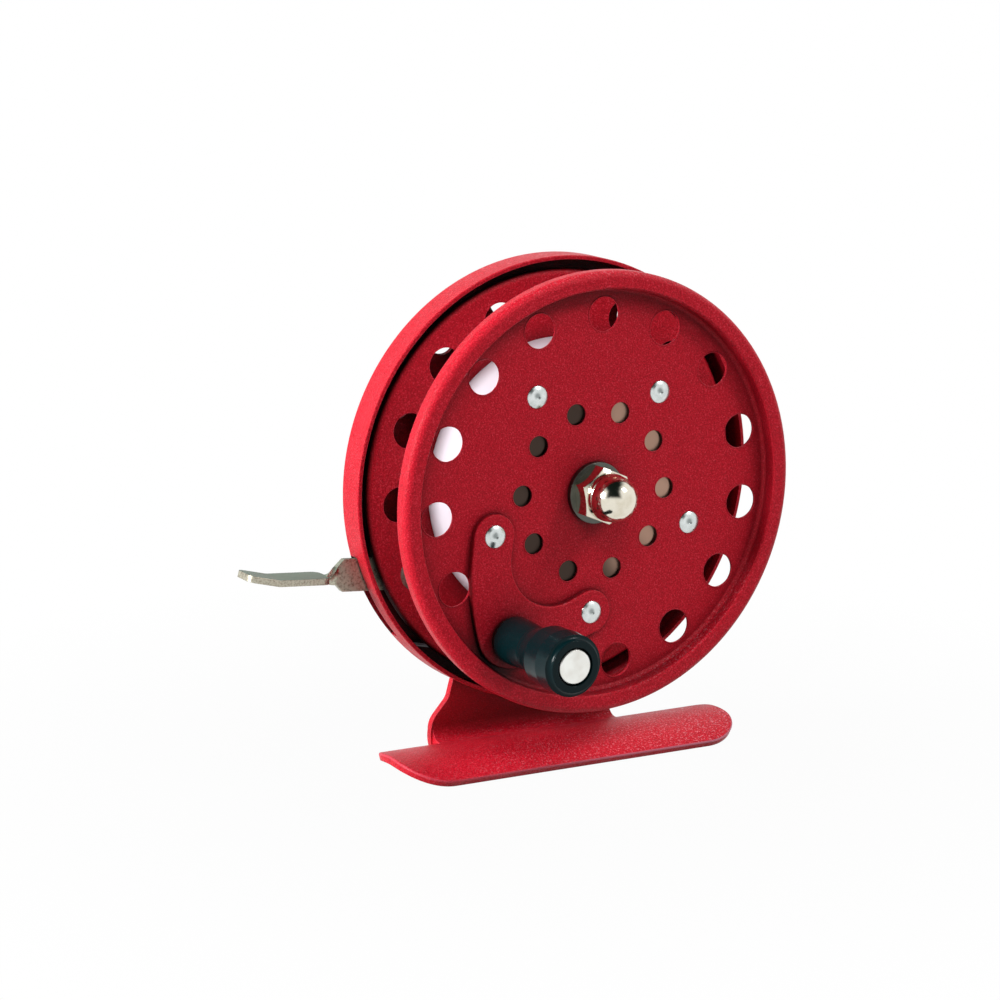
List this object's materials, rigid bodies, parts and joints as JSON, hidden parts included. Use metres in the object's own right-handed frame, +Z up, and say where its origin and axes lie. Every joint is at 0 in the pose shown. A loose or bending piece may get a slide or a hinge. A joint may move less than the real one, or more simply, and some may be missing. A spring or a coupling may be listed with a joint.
{
  "type": "fishing reel",
  "caption": "Small single-action fishing reel: perforated metal spool turned by a crank knob, in a rear pan on an arched foot, with a sprung check lever.",
  "frame": {"origin": "middle of the foot, on the plane that the foot's two long edges stand on, below the spool's axis", "axes": "+X along the foot, away from the check lever; +Y from the crank side to the pan side, along the spool's axis; +Z up from the foot to the spool"},
  "size_m": [0.0831, 0.0364, 0.0747],
  "materials": {
    "red_paint": "fine sand-textured stoving enamel",
    "white_plastic": "moulded, satin",
    "black_nylon": "moulded, matte",
    "black_plastic": "moulded, semi-gloss",
    "bare_aluminium": "upset rivet, satin",
    "spun_aluminium": "turned, with round tool marks",
    "turned_steel": "turned and barrel-polished",
    "zinc_plate": "zinc plated",
    "bright_nickel": "polished nickel",
    "nickel_strip": "nickel plated strip, satin",
    "spring_steel": "drawn wire",
    "brass": "turned"
  },
  "bodies": {
    "frame": {"rear_pan": "red_paint", "foot_bracket": "red_paint", "bracket_rivets": "bare_aluminium", "spindle": "zinc_plate", "front_washer": "zinc_plate", "acorn_nut": "bright_nickel", "thrust_washer": "zinc_plate", "rear_washer": "zinc_plate", "spring_post": "zinc_plate", "return_spring": "spring_steel", "lever_pivot": "zinc_plate", "lever_spacer": "zinc_plate"},
    "spool": {"front_flange": "red_paint", "rear_flange": "red_paint", "line_drum": "white_plastic", "hub_disc": "spun_aluminium", "hub_bush": "brass", "check_wheel": "black_nylon", "spool_rivets": "bare_aluminium", "crank_rivets": "bare_aluminium", "crank_plate": "red_paint", "knob_pin": "turned_steel", "knob_washer": "zinc_plate"},
    "knob": {"knob_grip": "black_plastic"},
    "lever": {"check_lever": "nickel_strip"}
  },
  "joints": [
    {"name": "spool_spin", "type": "hinge", "parent": "frame", "child": "spool", "pos_m": [0, -0.00275, 0.0415], "axis": [0, 1, 0], "continuous": true},
    {"name": "knob_spin", "type": "hinge", "parent": "spool", "child": "knob", "pos_m": [-0.01426, -0.0185, 0.02151], "axis": [0, 1, 0], "continuous": true},
    {"name": "lever_press", "type": "hinge", "parent": "frame", "child": "lever", "pos_m": [-0.0043, 0.0048, 0.0279], "axis": [0, -1, 0], "range_deg": [0, 17], "stiffness_Nm_per_rad": 0.08, "springref_deg": -17.19, "deforming": ["return_spring"]}
  ]
}
